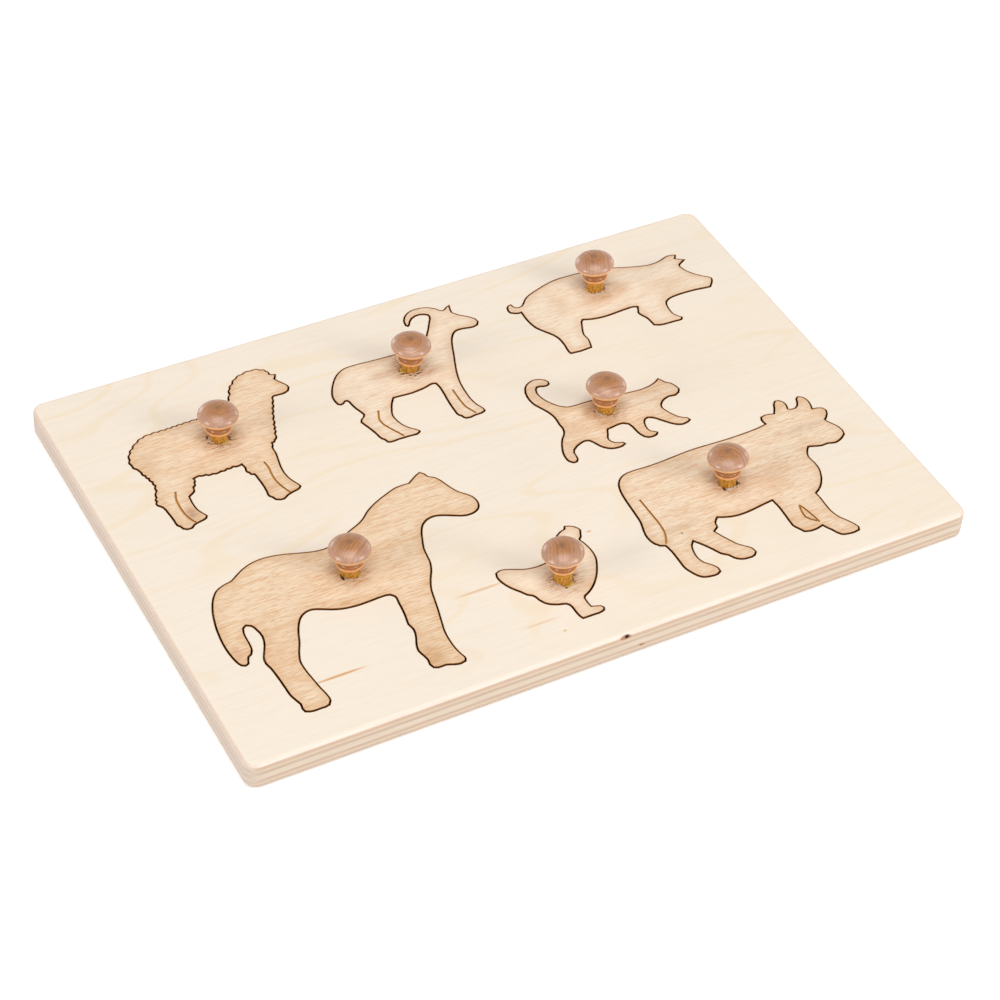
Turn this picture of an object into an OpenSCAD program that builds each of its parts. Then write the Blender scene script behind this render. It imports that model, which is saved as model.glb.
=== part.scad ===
// Peg puzzle of seven farm animals.
// A sheet of birch plywood with seven animal holes is glued on a plain backing sheet.
// Each animal is cut from the same sheet as its hole, and lifts out by a turned knob.
// Origin: middle of the board's underside. +X runs along the board, +Z is up.

/* [Board] */
// Length of the board
board_length = 300; // [290:1:340]
// Width of the board
board_width = 208; // [200:1:240]
// Thickness of each of the two plywood sheets
sheet_thickness = 6; // [5:0.1:8]
// Radius of the board's four corners, seen from above
corner_radius = 5; // [4:0.5:9]
// Rounding of the board's upper and lower outer edges
edge_rounding = 2; // [0.5:0.1:2.5]

/* [Animals] */
// Length of the sheep, from rump to nose
sheep_length = 73; // [68:0.5:75]
// Length of the goat, from tail to nose
goat_length = 73.5; // [68:0.5:76]
// Length of the pig, from tail to snout
pig_length = 87; // [82:0.5:89]
// Length of the cat, from hind foot to nose
cat_length = 60.5; // [56:0.5:63]
// Length of the horse, from tail to nose
horse_length = 116.5; // [110:0.5:118]
// Length of the hen, from tail to beak
hen_length = 40; // [37:0.5:43]
// Length of the cow, from rump to ear
cow_length = 100.5; // [95:0.5:102]

/* [Saw cut] */
// Width of the cut between each animal and its hole
kerf = 0.65; // [0.3:0.05:0.8]
// Height of the animals' faces above the board's face, which was sanded lower
proud = 0.25; // [0:0.05:0.6]
// Width of the lines engraved on the legs
engraved_width = 0.6; // [0.4:0.05:0.9]
// Depth of the lines engraved on the legs
engraved_depth = 0.4; // [0.2:0.05:0.8]

/* [Knobs] */
// Widest diameter of a knob's cap
knob_diameter = 16; // [14:0.5:18]
// Height of the domed top above the cap's rim
dome_height = 3.8; // [3:0.1:5]
// Depth of the cap's rounded underside below its rim
underside_depth = 1.9; // [1.2:0.1:3]
// Diameter of the waist at the middle of the cove
waist_diameter = 7.6; // [7.2:0.1:8.4]
// Height of the cove, the hollow between the cap and the flange
cove_height = 4.1; // [3:0.1:5.5]
// Height of the cove's rounded foot, and of its rounded head
cove_rounding = 1.3; // [0.5:0.1:1.4]
// Diameter of the round-edged flange under the cove
flange_diameter = 10.4; // [10:0.1:12]
// Thickness of the flange
flange_thickness = 1; // [0.6:0.1:1.4]
// Diameter of the tenon glued into the animal
tenon_diameter = 6.8; // [6:0.1:7.1]
// Gap between the tenon's end and the backing sheet
tenon_end_gap = 0.6; // [0.2:0.1:1.5]
// Glue gap between the tenon and its hole, on the radius
glue_gap = 0.35; // [0.1:0.05:0.5]

/* [Knob heights] */
// Length of bare tenon between the sheep and its flange
sheep_stand = 4.8; // [3:0.1:8]
// Length of bare tenon between the goat and its flange
goat_stand = 4.7; // [3:0.1:8]
// Length of bare tenon between the pig and its flange
pig_stand = 6; // [3:0.1:8]
// Length of bare tenon between the cat and its flange
cat_stand = 5; // [3:0.1:8]
// Length of bare tenon between the horse and its flange
horse_stand = 4.9; // [3:0.1:8]
// Length of bare tenon between the hen and its flange
hen_stand = 6.8; // [3:0.1:8]
// Length of bare tenon between the cow and its flange
cow_stand = 5.5; // [3:0.1:8]

/* [Hidden] */

$fn = 64;

// Length of the straight facets that draw a curved outline
facet_length = 1.5;
// Curls of wool on the sheep: their length along the outline and how far they stand out
curl_length = 2.7;
curl_height = 0.5;
// Facets of one curl
curl_facets = 4;
// Overrun of a cut past the face that it opens
overrun = 1;
// Facets of each quarter turn in a knob's profile
turning_steps = 10;

// Height of the face that the animals lie on, and of their own upper faces
seat_z = sheet_thickness;
animal_thickness = sheet_thickness + proud;
face_z = seat_z + animal_thickness;
// Depth of a tenon inside its animal
tenon_depth = animal_thickness - tenon_end_gap;

// Kinds of outline point: a sharp corner, or the start of a woolly stretch
corner = 1;
wool = 2;

// The animals are drawn on one sheet of squared paper that covers the board, with its origin
// at the board's middle. Outline tables run anticlockwise from the nose, over the back.
paper_shares = [300, 208];

sheep_knob_share = [-91.3, 55.1];
sheep_shares = [
    [-54.6, 71], [-55.4, 73.6], [-56.9, 76], [-57.7, 77.7, corner], [-56.9, 78.8],
    [-56.3, 80.1, corner], [-58.4, 81, wool], [-58.9, 83.3, wool], [-60.5, 84.9, wool],
    [-64, 86, wool], [-68, 85.5, wool], [-71.3, 84.2, wool], [-73.8, 81.8, wool],
    [-75.8, 79.6, wool], [-77.1, 76.6, wool], [-79, 73.4, wool], [-82.5, 70.1, wool],
    [-87, 68.7, wool], [-95, 68.4, wool], [-101, 68.3, wool], [-108, 68, wool],
    [-114, 68, wool], [-117.6, 67.4, wool], [-120.4, 65.9, wool], [-123.4, 63.3, wool],
    [-125.2, 61.2, wool], [-126.7, 57.8, wool], [-127.3, 55.2], [-127.2, 53],
    [-126.2, 51.9, corner], [-125.4, 49.3, wool], [-124.1, 45.3, wool], [-123.4, 40.6, wool],
    [-124.1, 37.8, wool], [-125.6, 34.3, wool], [-126.8, 30.2, corner], [-125.5, 28.6],
    [-124.9, 25], [-124.5, 20], [-124.4, 17.3], [-123.5, 16.1], [-123.1, 14.7],
    [-121.8, 13.8], [-120, 13.8], [-118.6, 15], [-116, 15.7], [-113.2, 16.5], [-112.5, 17.6],
    [-113.1, 18.9], [-114.2, 21.2], [-114.7, 25], [-114.4, 29.8, corner], [-112.6, 30.9, wool],
    [-111.1, 33.8, wool], [-109.7, 36, wool], [-109.2, 38.2, corner], [-106.5, 38.8, wool],
    [-101.5, 37.7, wool], [-98, 37.7, wool], [-93, 38.1, wool], [-89.3, 37.9, corner],
    [-88.8, 35.4, wool], [-88.5, 32.3, wool], [-87.2, 30.9], [-86.9, 28], [-86.7, 24],
    [-86.9, 20], [-87.1, 17.4], [-86.2, 16.3], [-85.6, 14.7], [-84.2, 13.9], [-82.8, 13.7],
    [-80.6, 15], [-78, 15.8], [-75, 16.6], [-74.2, 17.6], [-74.7, 19.1], [-76, 22.2],
    [-76.7, 26], [-76.5, 30.5], [-75.7, 34.5], [-75, 38.5], [-74.9, 41.8, wool],
    [-74.1, 44.1, wool], [-72.3, 45.2, wool], [-70.8, 48.5, wool], [-69.1, 53.2, wool],
    [-66.8, 59.5, wool], [-64.4, 64.8, wool], [-63.1, 67.8], [-62.1, 68.7], [-60, 68.5],
    [-57.5, 68.5], [-55.7, 69.2]];
sheep_engraved_shares = [
    [[-118, 34.2], [-119.2, 31.2], [-119.8, 26], [-119.6, 21.5], [-118.7, 18], [-117.6, 15.9]],
    [[-81.2, 35.3], [-80.9, 32], [-81.4, 27.8], [-81.4, 23.5], [-80.4, 19.2], [-79.2, 15.9]]];

goat_knob_share = [-6.1, 61.1];
goat_shares = [
    [31.9, 75.6], [31.6, 77.5], [30.3, 79.3], [28.2, 81.2], [26.2, 83.1], [24.8, 85.1, corner],
    [25.1, 87], [25.8, 89.5, corner], [24.4, 89], [23.2, 88], [22, 87.6], [20.9, 88.4],
    [19.6, 90.2], [17.9, 91.6], [15.3, 92.7], [12.6, 93.1], [10, 92.8], [7.6, 91.7],
    [5.7, 89.8], [4.6, 87.6], [4.3, 85.6], [4.9, 84.8], [5.7, 85.4], [6.7, 87], [8.2, 88.4],
    [10.2, 89.3], [12.4, 89.4], [14.3, 88.7], [15.5, 87.6], [15.5, 86.3], [13.7, 83.2],
    [11.7, 80], [9.6, 77], [7.6, 74.2], [5.4, 72], [2.4, 71.1], [-3, 71], [-10, 71.1],
    [-18, 71.5], [-25.5, 72], [-30, 71.7], [-33.7, 69.8], [-37.2, 66], [-39.9, 61.6],
    [-41.2, 58.4], [-41.4, 55.5], [-41.1, 53.6], [-40.2, 52.9], [-39, 53.2], [-38, 54.1],
    [-37, 54.1], [-36.5, 53], [-36.3, 51], [-35.7, 48], [-34.8, 45.3], [-34.5, 43.8],
    [-35.2, 42.6], [-36.6, 41.7], [-37.4, 40.3], [-36.8, 38.2], [-35.8, 35], [-35, 31.5],
    [-34.4, 28.5], [-33.5, 27.4], [-33.1, 25.8], [-32.3, 25.3], [-29, 25.4], [-24, 25.3],
    [-20, 25.4], [-19.1, 26.2], [-20.2, 27.7], [-22, 29.6], [-23.6, 32.2], [-24.5, 35.3],
    [-24.7, 38.8], [-23.5, 42], [-21.6, 45.6], [-19.8, 48, corner], [-17, 47.8],
    [-13, 47.5], [-9, 47.7], [-5, 48.4], [-2.2, 49.1], [-0.8, 48.7], [-0.5, 47.2],
    [-0.6, 42.5], [-1.2, 36.5], [-1.4, 31], [-1.2, 28.1], [-0.4, 27.3], [0.1, 25.8],
    [0.9, 25.2], [4.5, 25.4], [8.6, 25.8], [9.4, 26.4], [9.2, 27.8], [8.1, 30.4],
    [7.4, 34.5], [7.5, 39.5], [8.1, 45], [9.5, 50.5], [11.5, 56], [13.5, 61],
    [15.5, 66.3], [17.2, 70], [18.9, 72.5], [20.8, 74], [23.2, 74.3], [26, 73.8],
    [28.6, 73.4], [30.7, 73.9]];
goat_engraved_shares = [
    [[-28.6, 43.4], [-29.8, 40.6], [-30.6, 38.2], [-30.4, 36], [-28.8, 32], [-27, 28.3],
        [-26, 26.1]],
    [[3.4, 42.3], [3.2, 38], [3.2, 34], [3.5, 31], [4.5, 28.5], [5.4, 26.3]]];

pig_knob_share = [86.1, 74];
pig_shares = [
    [133.5, 60], [131.5, 62], [129, 64.6], [127, 67.3], [125.8, 70], [125.4, 72],
    [125.7, 73.2, corner], [127.4, 74.2], [129.4, 75.3, corner], [127.8, 76.3],
    [126.1, 77.4, corner], [127.5, 79.5, corner], [126, 80.1], [123.5, 80.2], [120.8, 79.2],
    [118, 78.5], [114, 78.4], [110, 79.2], [105, 80.8], [99.8, 82.7], [93.5, 84.7],
    [87, 85.6], [80, 86], [74.5, 86.1], [69.5, 85.3], [64.5, 83.8], [60, 82.2],
    [56.6, 80.4], [54.6, 78.4], [53, 76.8], [51.3, 76.3], [49.8, 77], [49.2, 78.2],
    [49.1, 79.4, corner], [47.9, 79.2], [46.8, 78.1], [46.3, 76.3], [46.6, 74.8],
    [47.9, 73.9], [49.3, 73.3], [50.8, 73.3, corner], [50.6, 69.5], [50.8, 65.5],
    [51.6, 62], [53.4, 58.8], [55.5, 55.6], [56.6, 53], [57, 50], [56.8, 46.5],
    [56.5, 43.5], [56.7, 42.1, corner], [61, 41.7], [66.1, 42, corner], [66.9, 44.5],
    [67.4, 47.2], [67.1, 49.8], [68, 52.7], [69.3, 55.6], [70.2, 57.6], [71.3, 58.7, corner],
    [73.5, 57.9], [76.5, 57.1], [80, 56.7], [86, 56.9], [91, 57.2], [94.3, 57.2],
    [96.1, 56.4, corner], [95.3, 54.7], [94.4, 53], [95, 50.8], [96, 48.5], [96.3, 46],
    [96.4, 43.6, corner], [98.5, 42.5], [102, 42.1], [105.5, 42], [108.6, 42], [109.3, 43],
    [108.1, 44.4], [107.1, 46.3], [107, 49.3], [107.5, 52.3], [108.6, 54.5], [110.5, 55.6],
    [114, 56.2], [119, 56.3], [124, 56], [127.5, 55.5], [130.2, 55.2, corner], [131.9, 57],
    [133.2, 58.9]];

cat_knob_share = [52.4, 6.4];
cat_shares = [
    [85.4, 5], [85, 7.2], [84.2, 9.2], [82.5, 10.6], [81.8, 12.1], [80.9, 13.8, corner],
    [79.6, 12.9], [78, 12.1], [75, 11.3], [71, 11], [66, 11.4], [60, 12.3], [54, 13.1],
    [48, 13.6], [42.5, 13.7], [39.7, 14.1], [37.4, 15.6], [35.4, 18.1], [33.7, 21.2],
    [32.8, 24.2], [32.7, 26.7], [33.3, 28.6], [34.4, 29.7], [35.8, 29.6], [37.2, 29],
    [38.7, 28.9], [39.8, 29.6], [40, 30.8], [39.2, 32.3], [37.5, 33.4], [35, 34],
    [32.5, 33.2], [30.6, 31.9], [29.2, 29.7], [28.3, 26.8], [28.1, 23.8], [28.6, 20.8],
    [29.9, 17.9], [31.2, 15], [32, 12.2], [32.2, 9.3], [31.9, 6.5], [32, 3.8], [31.6, 2],
    [30.6, 0.3], [29.1, -1.3], [27.6, -3.5], [26.2, -6.3], [25.2, -9], [24.8, -11.5],
    [25.1, -14], [26.3, -15.3], [27.7, -15.3], [28.7, -14.2], [29, -12.4], [29.1, -10.5],
    [29.9, -9], [31.6, -7.8], [34, -6.7], [36.3, -6.2], [37.9, -6.7], [38.9, -8.2],
    [40, -10.8], [41.4, -12.8], [43.5, -14.4], [45.9, -15], [48.3, -14.9], [49.8, -14.2],
    [49.4, -13.2], [47.9, -12.8], [46.3, -12], [45.2, -10.4], [45.1, -8.9], [46.2, -6.8],
    [47.6, -4, corner], [50, -3.7], [52.8, -3.3], [55.2, -3.6], [56.7, -4.7], [57.3, -6.7],
    [57.5, -9.5], [57.9, -12], [58.8, -14], [60.1, -14.9], [61.8, -15.2], [63.6, -14.8],
    [64.6, -13.8], [63.6, -12.9], [62.4, -12], [61.9, -10.5], [62.2, -8.3], [62.9, -6.3],
    [64, -5], [65.5, -4.6], [67.2, -5.5], [69.5, -8.2], [72, -11.3], [74, -13.1],
    [76.3, -13.9], [78.5, -13.6], [80, -12.8], [79.6, -11.4], [78, -10.6], [76.6, -9.2],
    [75.2, -7], [74.2, -4.5], [73.5, -1.8], [74, -0.3], [75.2, 1], [77.2, 2.2], [79.6, 2.8],
    [82.2, 2.4], [84.2, 3.3]];

horse_knob_share = [-77.4, -32.9];
horse_shares = [
    [-17.3, -17.8], [-17.9, -15.4], [-19.5, -13.2], [-21.3, -11.1], [-22.7, -8.3],
    [-24, -4.6], [-25, -1.7], [-26.3, 0.2], [-28.1, 1.5, corner], [-28.7, 3.5], [-29.9, 4.9],
    [-31.7, 4.1], [-34, 2.7], [-36.2, 1.2, corner], [-38.5, 1.3], [-42, 1.1], [-46, -0.3],
    [-50, -1.9], [-54.5, -4.2], [-57.5, -6.2], [-60, -8.5], [-62.7, -10.4], [-66, -11.9],
    [-69.7, -13.6], [-73.3, -15.5], [-77, -16.9], [-80.5, -17.5], [-84, -17.2],
    [-88, -16.1], [-94, -14.1], [-99, -12.8], [-103.5, -12.3], [-108, -12.8],
    [-112.3, -14.4], [-115.5, -16.3], [-118.2, -18.1], [-122, -19], [-125.2, -20.5],
    [-128, -23.8], [-130.5, -29], [-132.4, -35.5], [-133.5, -42], [-133.9, -48],
    [-133.7, -52], [-133.1, -55.8], [-132.2, -58.3], [-130.9, -59.1], [-129.6, -58.6],
    [-129, -57], [-128.3, -55.6, corner], [-126.9, -54.9], [-125.9, -53.2], [-125.4, -50.5],
    [-125.3, -47], [-125, -44], [-124.3, -41.9], [-122.8, -41], [-121.1, -42],
    [-120.1, -44.8], [-119.6, -48.4], [-120.4, -52], [-122.2, -55.8], [-123.8, -59.3],
    [-124, -61.2], [-123.4, -63.8], [-123, -68], [-122.7, -74], [-122.4, -79.5],
    [-121.6, -82.3], [-121, -84.3], [-121.4, -86.5], [-121, -88.1], [-119.4, -88.8],
    [-115.5, -89], [-112.1, -88.7], [-110.9, -87], [-110.9, -84], [-111.6, -80],
    [-112.2, -75], [-112.7, -70], [-112.6, -65.5], [-111.2, -61.5], [-109, -57],
    [-107.3, -52.5], [-105.5, -48.8], [-103, -45.5], [-100.5, -44.1], [-98, -43.9],
    [-95, -45.1], [-91.5, -46.9], [-88, -48.2], [-83, -49], [-77, -49], [-72, -48.8],
    [-69, -49.2], [-67.8, -50.7], [-68, -54.5], [-68.6, -60], [-69.7, -65.5, corner],
    [-69.1, -68.8], [-70, -72.3], [-71.6, -76], [-72.3, -78.8], [-71.6, -82],
    [-71.2, -84.5], [-71.6, -86.6], [-71, -88.5], [-69.6, -89.2], [-66.5, -89.2],
    [-64, -90.2], [-61.5, -90.9], [-59.4, -90.5], [-58.7, -89.2], [-59.2, -87],
    [-59.8, -83.5], [-59.9, -79], [-59.6, -75], [-58.3, -69.5], [-56.7, -63.5],
    [-55.3, -57.5], [-54, -52.5], [-52, -48.2], [-49.8, -44.4], [-48.3, -40.5],
    [-47.7, -36.5], [-47, -32.5], [-45.7, -29], [-44, -24.9], [-41.8, -21.4], [-39, -19.5],
    [-35.7, -19], [-32.5, -20], [-29.5, -21.5], [-26.5, -23.1], [-24, -23.8],
    [-21.2, -23.6], [-18.8, -22.3], [-17.6, -20.3]];

hen_knob_share = [-8, -69.6];
hen_shares = [
    [10.4, -49], [9.9, -47.7], [9, -46.5], [7.5, -45.5], [6, -44.9, corner], [5.2, -46.3, corner],
    [3, -46.9], [1.2, -48], [-0.5, -50], [-2, -53], [-4.2, -56.2], [-7.6, -58.6],
    [-11.5, -59.4], [-15.5, -59.3], [-18.6, -58.6], [-21.6, -57.2], [-24.6, -55.9],
    [-27.1, -55.4], [-28.9, -56.1], [-29.5, -58], [-29.3, -60.3], [-28.5, -63],
    [-27, -65.8], [-25, -68.6], [-23.7, -70.7], [-22, -72], [-21.4, -73.2, corner],
    [-21, -75], [-20, -77], [-18.2, -78.7], [-15.5, -80], [-12.9, -80.9], [-12.1, -81.9],
    [-11.8, -85], [-11.5, -88.6], [-11, -89.9, corner], [-7, -89.9], [-3.2, -89.8],
    [-1.9, -89.3], [-1.5, -88.2], [-2.2, -87.1], [-3.8, -86.5], [-5.5, -85.9, corner],
    [-5.7, -83.5], [-5.6, -81.3], [-5, -80.2, corner], [-2.5, -79], [0, -77.2],
    [2.6, -74.6], [4.9, -71.5], [6.9, -68], [8.3, -64.9], [8.8, -61.8], [8.7, -58.5],
    [8.1, -55.5], [7.5, -53.5, corner], [8.9, -52.2], [9.6, -50.6]];

cow_knob_share = [74.5, -50.4];
cow_shares = [
    [131.3, -43.5], [131, -41.3], [130.1, -39.2], [128.9, -37.1], [128.3, -35.4, corner],
    [129.7, -34.3], [131.1, -32.7], [131.9, -30.7], [131.2, -29.1], [129.4, -28.2],
    [127.2, -27.9, corner], [128, -25.4], [128.3, -22.7], [127.4, -20.2], [126, -19.2],
    [124.8, -20], [124, -22], [122.9, -23.7], [121.4, -24.6], [119.8, -24.6],
    [118.3, -23.9, corner], [119, -21.9], [119, -19.6], [117.8, -17.9], [116.4, -17.6],
    [115.2, -18.6], [113.8, -21.2], [111.9, -24, corner], [110.2, -23.4], [108, -23.1],
    [106.2, -23.5], [105.5, -24.9], [105.7, -27.8, corner], [102, -28.4], [96, -28.8],
    [88, -28.9], [80, -28.6], [72, -28.3], [64, -28.7], [57, -29.2], [50, -29.3],
    [44, -29.1], [40.5, -29.5], [37.9, -31], [36, -33.3], [34.9, -36.2], [34.2, -40],
    [33.8, -45], [33.5, -50], [33.1, -55], [32.1, -58.7], [31.3, -62], [31.3, -65],
    [32.1, -67.6], [33.4, -69.3], [35.3, -70.2, corner], [35.8, -74], [35.8, -79],
    [35.9, -84], [36.8, -86.4], [38.1, -89], [39.8, -90.6], [42.5, -91.3], [45.2, -91.4],
    [46.9, -90.5], [47, -88.7], [45.8, -86.4], [43.7, -84], [42.8, -81], [43.1, -77.5],
    [44.1, -74.4], [45.9, -72.3, corner], [48.6, -76.2], [50.5, -79.6], [52.1, -82.7],
    [54.2, -84.6], [55.4, -86.8], [57.2, -88.3], [60, -89], [63, -88.7], [64.4, -87.3],
    [64.1, -85.3], [62.4, -83.2], [60.3, -81], [58.5, -77.6], [56.9, -74.2],
    [55.7, -71.3, corner], [58.1, -69.7, corner], [58.6, -67.4], [60.8, -65.1, corner],
    [63, -66.1], [66, -67.1], [70, -67.6], [75, -67.3], [80, -66.6], [84.9, -66, corner],
    [85.2, -70], [85, -75], [84.7, -79], [84.7, -81.5], [85.9, -84], [86.9, -85.9],
    [89, -86.6], [91.8, -86.6], [94.9, -85.9, corner], [95.7, -87.7], [96.8, -89.5],
    [97.7, -91.6], [98.8, -93.2], [101.2, -94], [104, -94.3], [106.2, -93.9],
    [106.9, -92.4], [106.3, -90.6], [105, -88], [103, -84.5], [102.1, -81], [102.1, -76],
    [102.3, -72.5], [102.1, -69.8, corner], [104, -68.7], [106, -67.1], [107.9, -64.8],
    [109.6, -61.8], [110.8, -58.5], [111, -54.5], [110.7, -51.2], [111.7, -48.6],
    [113.8, -46, corner], [116.2, -46.8], [119, -47.7], [122, -47.6], [124.7, -48.5],
    [127, -48], [129.2, -46.9], [130.8, -45.6]];
cow_engraved_shares = [
    [[38.8, -44.4], [38.9, -52], [38.9, -60], [38.5, -63.5], [37.3, -66.8], [35.9, -69.4]],
    [[92.7, -72.8], [93.8, -77], [94.4, -80.6], [94.8, -83.9]],
    [[92.5, -73.2], [91.6, -76.5], [91.4, -79.6], [92.8, -81.7], [94.4, -83.3]]];

// Length along X of a drawn outline, in squares of its paper
function drawn_length(shares) = max([for (p = shares) p.x]) - min([for (p = shares) p.x]);

// Points of a drawing at full size, measured from the middle of the animal's knob
function full_size(points, middle, unit) =
    [for (p = points) [(p.x - middle.x) * unit, (p.y - middle.y) * unit]];

// Direction of a smooth curve at a point, where the nearer neighbour counts for more
function direction(before, at, after) =
    let (near = norm(at - before), far = norm(after - at))
    ((at - before) * far / near + (after - at) * near / far) / (near + far);

// Point at t along the cubic from a to b that leaves along u and arrives along v
function cubic(a, b, u, v, t) =
    a * (2 * t ^ 3 - 3 * t ^ 2 + 1) + u * (t ^ 3 - 2 * t ^ 2 + t)
    + b * (3 * t ^ 2 - 2 * t ^ 3) + v * (t ^ 3 - t ^ 2);

// Closed curve through an outline's points, with its corners kept and its wool curled
function closed_curve(points, kinds) =
    let (n = len(points))
    [for (i = [0 : n - 1])
        let (
            j = (i + 1) % n,
            a = points[i],
            b = points[j],
            chord = norm(b - a),
            straight = (b - a) / chord,
            u = kinds[i] == corner ? straight : direction(points[(i + n - 1) % n], a, b),
            v = kinds[j] == corner ? straight : direction(a, b, points[(i + 2) % n]),
            curls = kinds[i] == wool ? max(1, round(chord / curl_length)) : 0,
            steps = max(1, curls * curl_facets, round(chord / facet_length)),
            outward = [straight.y, -straight.x]
        )
        for (k = [0 : steps - 1])
            let (t = k / steps)
            cubic(a, b, u * chord, v * chord, t)
            + outward * curl_height * abs(sin(180 * curls * t))];

// Open curve through the points of an engraved line
function open_curve(points) =
    let (n = len(points))
    concat(
        [for (i = [0 : n - 2])
            let (
                a = points[i],
                b = points[i + 1],
                chord = norm(b - a),
                u = i == 0 ? (b - a) / chord : direction(points[i - 1], a, b),
                v = i == n - 2 ? (b - a) / chord : direction(a, b, points[i + 2]),
                steps = max(1, round(chord / facet_length))
            )
            for (k = [0 : steps - 1])
                cubic(a, b, u * chord, v * chord, k / steps)],
        [points[n - 1]]);

// Normal on the right of the step from a to b, which is outward on an anticlockwise outline
function right_of(a, b) = [(b - a).y, -(b - a).x] / norm(b - a);

// Shift that moves a point's two neighbouring edges, of normals m and n, by one unit
function mitre(m, n) = (m + n) / max(1 + m * n, 0.4);

// Outline with every edge moved outward by a distance, or inward if it is negative
function grown(points, distance) =
    let (n = len(points))
    [for (i = [0 : n - 1])
        let (a = points[(i + n - 1) % n], b = points[i], c = points[(i + 1) % n])
        b + distance * mitre(right_of(a, b), right_of(b, c))];

// Long thin outline that runs along one side of an open line and back along the other
function strip(line, width) =
    let (
        n = len(line),
        shifts = [for (i = [0 : n - 1])
            mitre(
                right_of(line[max(i - 1, 0)], line[max(i, 1)]),
                right_of(line[min(i, n - 2)], line[min(i + 1, n - 1)])) * width / 2]
    )
    concat(
        [for (i = [0 : n - 1]) line[i] + shifts[i]],
        [for (i = [n - 1 : -1 : 0]) line[i] - shifts[i]]);

// Points of a quarter ellipse about a centre, from one angle to another
function quarter(centre, across, up, from, to) =
    [for (k = [0 : turning_steps])
        let (angle = from + (to - from) * k / turning_steps)
        centre + [across * cos(angle), up * sin(angle)]];

// Half of a knob's section, from its tenon's end up to its domed top, above the animal's face
function knob_section(stand) =
    let (
        tenon = tenon_diameter / 2,
        waist = waist_diameter / 2,
        cap = knob_diameter / 2,
        edge = flange_thickness / 2,
        mouth = flange_diameter / 2 - edge,
        cove_z = stand + flange_thickness,
        cap_z = cove_z + cove_height,
        rim_z = cap_z + underside_depth
    )
    concat(
        [[0, -tenon_depth], [tenon, -tenon_depth], [tenon, stand]],
        quarter([mouth, stand + edge], edge, edge, -90, 0),
        quarter([mouth, stand + edge], edge, edge, 0, 90),
        quarter([mouth, cove_z + cove_rounding], mouth - waist, cove_rounding, 270, 180),
        quarter([mouth, cap_z - cove_rounding], mouth - waist, cove_rounding, 180, 90),
        quarter([mouth, rim_z], cap - mouth, underside_depth, -90, 0),
        quarter([0, rim_z], cap, dome_height, 0, 90));

// Section of the board's edge, with its upper outer edge rounded
module edge_section() {
    square([corner_radius, sheet_thickness - edge_rounding]);
    square([corner_radius - edge_rounding, sheet_thickness]);
    translate([corner_radius - edge_rounding, sheet_thickness - edge_rounding])
        circle(edge_rounding);
}

// One plywood sheet with rounded corners and a rounded upper edge, lying on Z = 0
module sheet() {
    side = board_length - 2 * corner_radius;
    end = board_width - 2 * corner_radius;
    translate([-side / 2, -end / 2, 0]) cube([side, end, sheet_thickness]);
    for (turn = [0, 180]) {
        rotate(turn) translate([side / 2, end / 2, 0]) rotate([90, 0, 0])
            linear_extrude(end) edge_section();
        rotate(turn) translate([-side / 2, end / 2, 0]) rotate([90, 0, 90])
            linear_extrude(side) edge_section();
        rotate(turn) translate([side / 2, end / 2, 0])
            rotate_extrude(angle = 90) edge_section();
        rotate(turn) translate([-side / 2, end / 2, 0]) rotate(90)
            rotate_extrude(angle = 90) edge_section();
    }
}

// Moves what follows to the place of a knob on the board
module at_knob(share, z) {
    translate([
        share.x / paper_shares.x * board_length,
        share.y / paper_shares.y * board_width,
        z])
        children();
}

// Solid of an animal's outline, moved outward by a distance
module outline_solid(shares, middle, length, distance, height) {
    points = full_size(shares, middle, length / drawn_length(shares));
    linear_extrude(height)
        polygon(grown(closed_curve(points, [for (p = shares) p[2]]), distance));
}

// Hole for one animal through the upper sheet
module hole(shares, middle, length) {
    at_knob(middle, seat_z - overrun)
        outline_solid(shares, middle, length, kerf / 2, sheet_thickness + 2 * overrun);
}

// One animal, bored for its knob and engraved with its lines
module animal(shares, middle, length, lines = []) {
    unit = length / drawn_length(shares);
    difference() {
        at_knob(middle, seat_z)
            outline_solid(shares, middle, length, -kerf / 2, animal_thickness);
        at_knob(middle, seat_z - overrun)
            cylinder(h = animal_thickness + 2 * overrun, d = tenon_diameter + 2 * glue_gap);
        for (line = lines)
            at_knob(middle, face_z - engraved_depth)
                linear_extrude(engraved_depth + overrun)
                    polygon(strip(open_curve(full_size(line, middle, unit)), engraved_width));
    }
}

// One turned knob, with its tenon in the animal
module knob(middle, stand) {
    color("sienna") at_knob(middle, face_z) rotate_extrude() polygon(knob_section(stand));
}

module backing_sheet() {
    color("wheat") translate([0, 0, sheet_thickness]) mirror([0, 0, 1]) sheet();
}

module cutout_sheet() {
    color("bisque") difference() {
        translate([0, 0, seat_z]) sheet();
        hole(sheep_shares, sheep_knob_share, sheep_length);
        hole(goat_shares, goat_knob_share, goat_length);
        hole(pig_shares, pig_knob_share, pig_length);
        hole(cat_shares, cat_knob_share, cat_length);
        hole(horse_shares, horse_knob_share, horse_length);
        hole(hen_shares, hen_knob_share, hen_length);
        hole(cow_shares, cow_knob_share, cow_length);
    }
}

module sheep() {
    color("burlywood")
        animal(sheep_shares, sheep_knob_share, sheep_length, sheep_engraved_shares);
}

module goat() {
    color("burlywood") animal(goat_shares, goat_knob_share, goat_length, goat_engraved_shares);
}

module pig() {
    color("burlywood") animal(pig_shares, pig_knob_share, pig_length);
}

module cat() {
    color("burlywood") animal(cat_shares, cat_knob_share, cat_length);
}

module horse() {
    color("burlywood") animal(horse_shares, horse_knob_share, horse_length);
}

module hen() {
    color("burlywood") animal(hen_shares, hen_knob_share, hen_length);
}

module cow() {
    color("burlywood") animal(cow_shares, cow_knob_share, cow_length, cow_engraved_shares);
}

module sheep_knob() {
    knob(sheep_knob_share, sheep_stand);
}

module goat_knob() {
    knob(goat_knob_share, goat_stand);
}

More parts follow.
